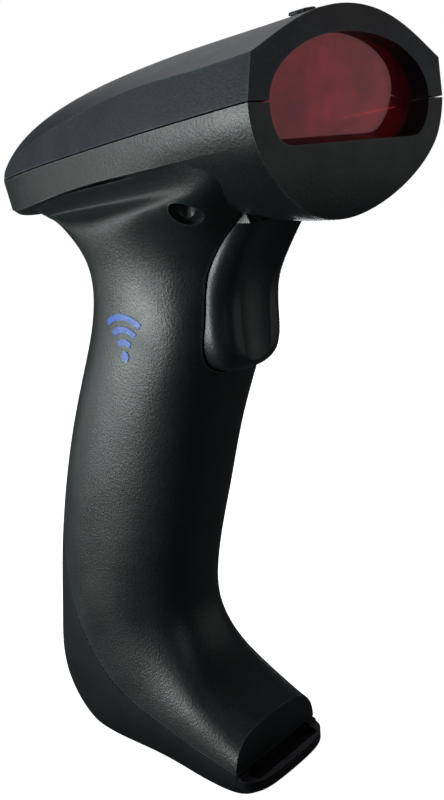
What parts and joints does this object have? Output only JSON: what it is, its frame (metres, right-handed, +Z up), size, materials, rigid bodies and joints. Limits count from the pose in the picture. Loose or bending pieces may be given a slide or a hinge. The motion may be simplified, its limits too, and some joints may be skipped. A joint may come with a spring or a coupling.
{
  "type": "handheld barcode scanner",
  "caption": "Pistol-grip cordless barcode scanner with a red reading window in its nose, a finger trigger, a scooped handle and a wide flat foot.",
  "frame": {"origin": "on the surface that the foot stands on, under the middle of the scanner's box", "axes": "+Z up along the handle, -Y towards the reading window, +X across the scanner, to the left of someone who holds it"},
  "size_m": [0.0658, 0.1048, 0.1697],
  "materials": {
    "cover_plastic": "fine spark-eroded grain, satin",
    "housing_plastic": "fine spark-eroded grain, satin",
    "base_plastic": "smoother, satin",
    "trigger_plastic": "fine grain, satin",
    "red_window": "polished, tinted red",
    "gasket_rubber": "matt",
    "black_plastic": "moulded, matt",
    "grey_plastic": "moulded, matt",
    "status_lens": "smoked, polished",
    "led_resin": "clear resin",
    "circuit_board": "green solder mask",
    "chip_resin": "matt",
    "shield_tin": "tinned sheet",
    "screw_steel": "zinc plated",
    "spring_steel": "bright wire",
    "pin_steel": "ground",
    "battery_wrap": "shrink sleeve",
    "contact_nickel": "nickel plated",
    "lead_insulation": "soft",
    "laser_brass": "turned",
    "mirror_glass": "silvered",
    "magnet_nickel": "plated",
    "coil_copper": "enamelled wire",
    "optic_glass": "polished",
    "ribbon_film": "polyimide film",
    "mark_ink": "printed"
  },
  "bodies": {
    "scanner": {"top_cover": "cover_plastic", "lower_housing": "housing_plastic", "base_cover": "base_plastic", "window_pane": "red_window", "window_gasket": "gasket_rubber", "window_retainer": "black_plastic", "status_lenses": "status_lens", "status_board": "circuit_board", "status_leds": "led_resin", "trigger_pin": "pin_steel", "trigger_spring": "spring_steel", "trigger_switch": "black_plastic", "main_board": "circuit_board", "decoder_chip": "chip_resin", "radio_module": "shield_tin", "buzzer": "black_plastic", "battery": "battery_wrap", "battery_holder": "black_plastic", "battery_contacts": "contact_nickel", "power_board": "circuit_board", "charge_port": "shield_tin", "power_leads": "lead_insulation", "engine_chassis": "grey_plastic", "laser_module": "laser_brass", "mirror_pivot": "pin_steel", "drive_coil": "coil_copper", "collector_lens": "optic_glass", "photo_sensor": "chip_resin", "engine_board": "circuit_board", "flex_cable": "ribbon_film", "cover_screws": "screw_steel", "base_screws": "screw_steel", "engine_screws": "screw_steel", "board_screws": "screw_steel", "holder_screws": "screw_steel", "wireless_mark": "mark_ink"},
    "trigger": {"trigger": "trigger_plastic"},
    "plunger": {"switch_plunger": "grey_plastic"},
    "mirror": {"scan_mirror": "mirror_glass", "mirror_carrier": "black_plastic", "mirror_magnet": "magnet_nickel"}
  },
  "joints": [
    {"name": "trigger_pull", "type": "hinge", "parent": "scanner", "child": "trigger", "pos_m": [0, -0.0284, 0.1348], "axis": [1, 0, 0], "range_deg": [0, 3.2], "stiffness_Nm_per_rad": 0.6, "springref_deg": -2.29, "deforming": ["trigger_spring"]},
    {"name": "switch_press", "type": "slide", "parent": "scanner", "child": "plunger", "axis": [0, 0.9901, 0.1402], "range_m": [0, 0.0018]},
    {"name": "mirror_scan", "type": "hinge", "parent": "scanner", "child": "mirror", "pos_m": [-0.00676, -0.01814, 0.153], "axis": [0, 0, 1], "range_deg": [-5, 5], "stiffness_Nm_per_rad": 0.001}
  ],
  "couplings": [
    {"joint": "switch_press", "follows": "trigger_pull", "m_per_rad": 0.0286}
  ]
}
